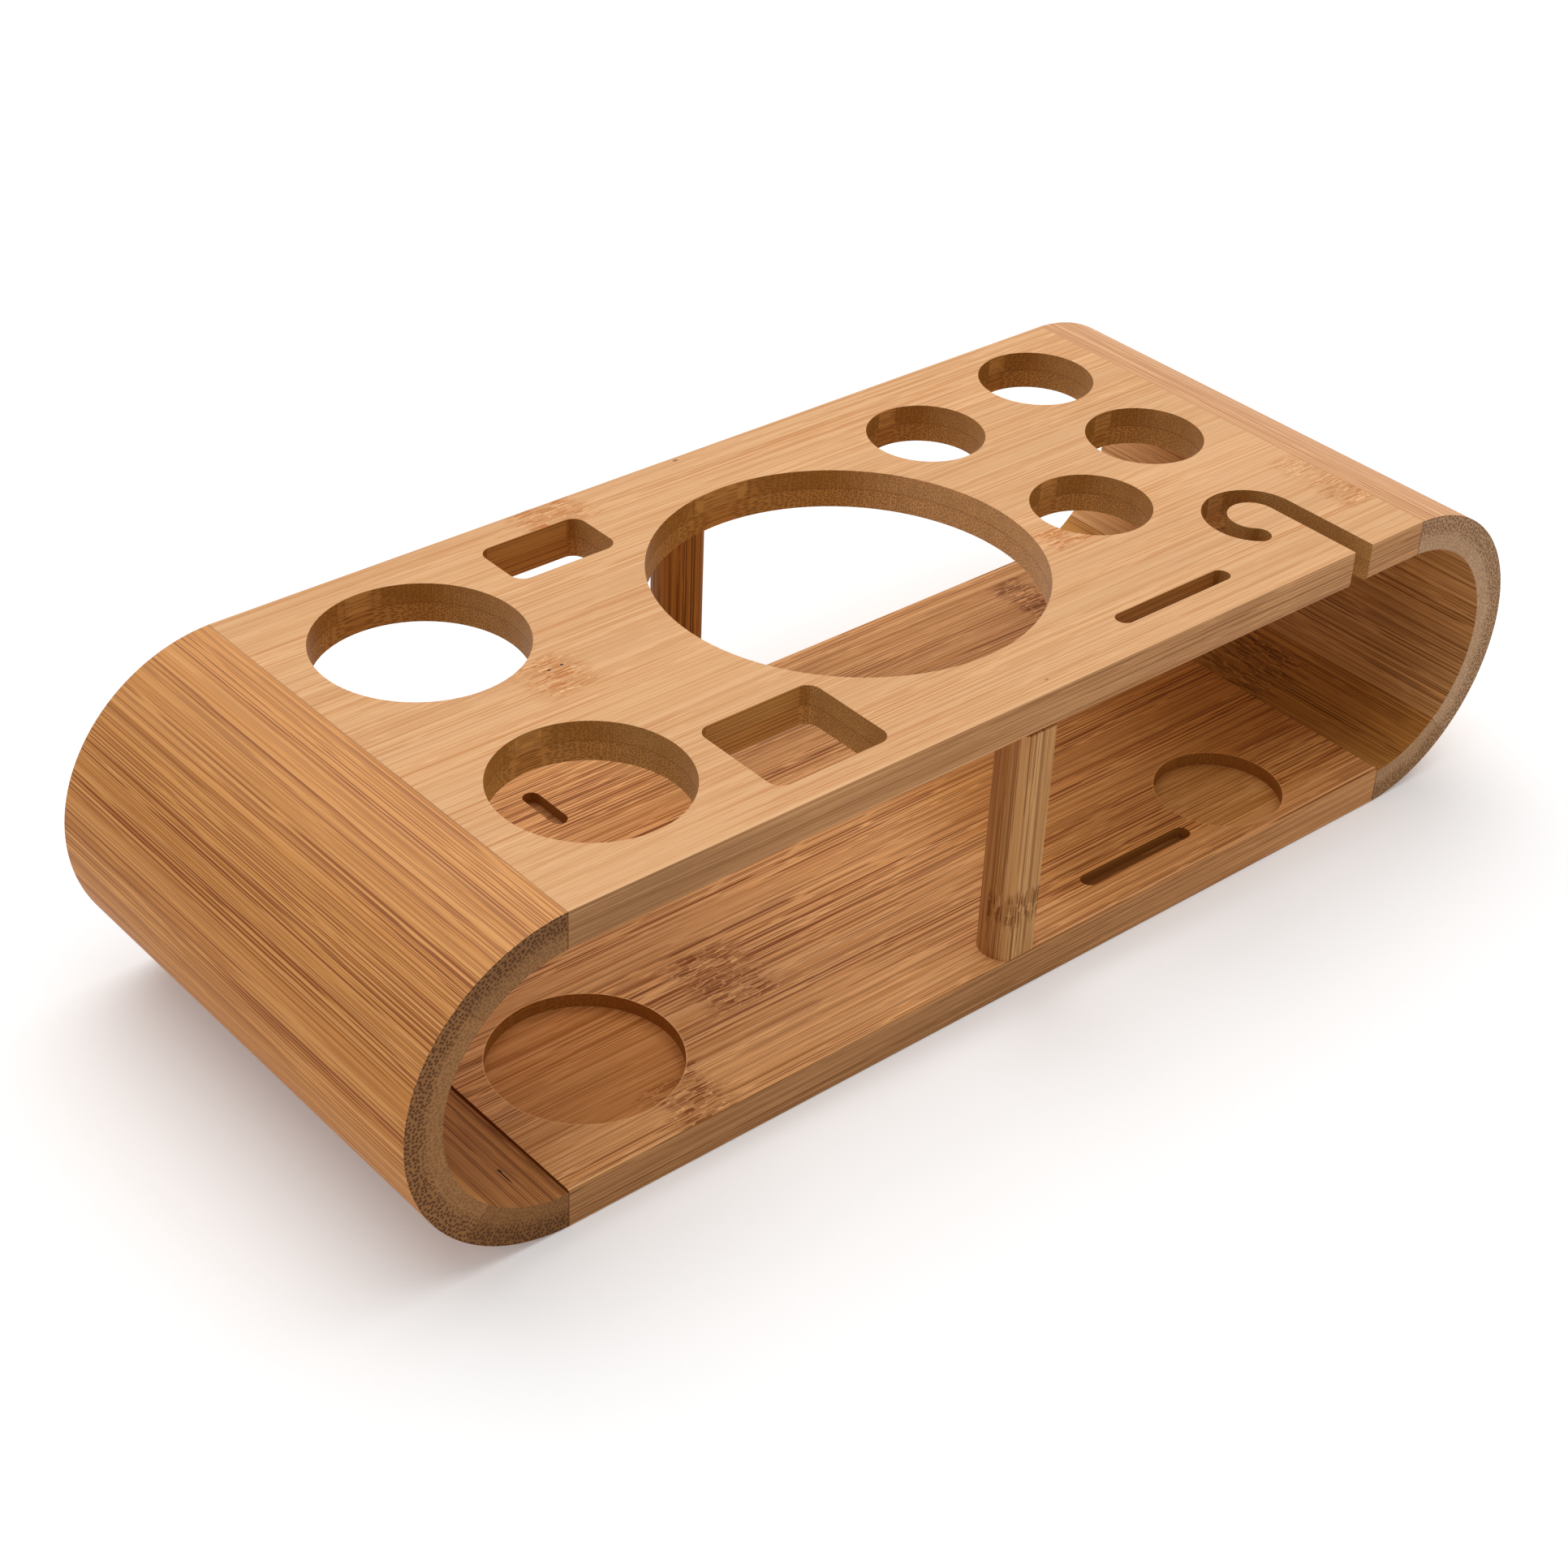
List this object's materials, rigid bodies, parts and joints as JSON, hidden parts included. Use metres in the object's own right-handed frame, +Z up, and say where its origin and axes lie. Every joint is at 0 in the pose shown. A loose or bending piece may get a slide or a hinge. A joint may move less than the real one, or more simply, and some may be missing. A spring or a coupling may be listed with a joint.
{
  "type": "tool storage caddy",
  "caption": "Low bamboo stand for hand tools: two boards joined by half-round end walls, the upper one cut with round holes, windows, a blade slot and a hooked slot.",
  "frame": {"origin": "middle of the base, on the surface that the caddy stands on", "axes": "+X along the boards to the hooked slot's end, +Y to the back, +Z up"},
  "size_m": [0.3342, 0.131, 0.0816],
  "materials": {
    "upper_board": "oiled bamboo, satin",
    "lower_board": "oiled bamboo, satin",
    "end_wall": "oiled bamboo, satin",
    "rod": "oiled bamboo, satin",
    "dowel": "bare wood"
  },
  "bodies": {
    "root": {"top_panel": "upper_board", "bottom_panel": "lower_board", "front_post": "rod", "rear_post": "rod", "left_end_upper_stave": "end_wall", "left_end_middle_stave": "end_wall", "left_end_lower_stave": "end_wall", "right_end_upper_stave": "end_wall", "right_end_middle_stave": "end_wall", "right_end_lower_stave": "end_wall", "post_lower_dowels": "dowel", "post_upper_dowels": "dowel", "top_left_seam_dowels": "dowel", "top_right_seam_dowels": "dowel", "bottom_left_seam_dowels": "dowel", "bottom_right_seam_dowels": "dowel"}
  },
  "joints": []
}
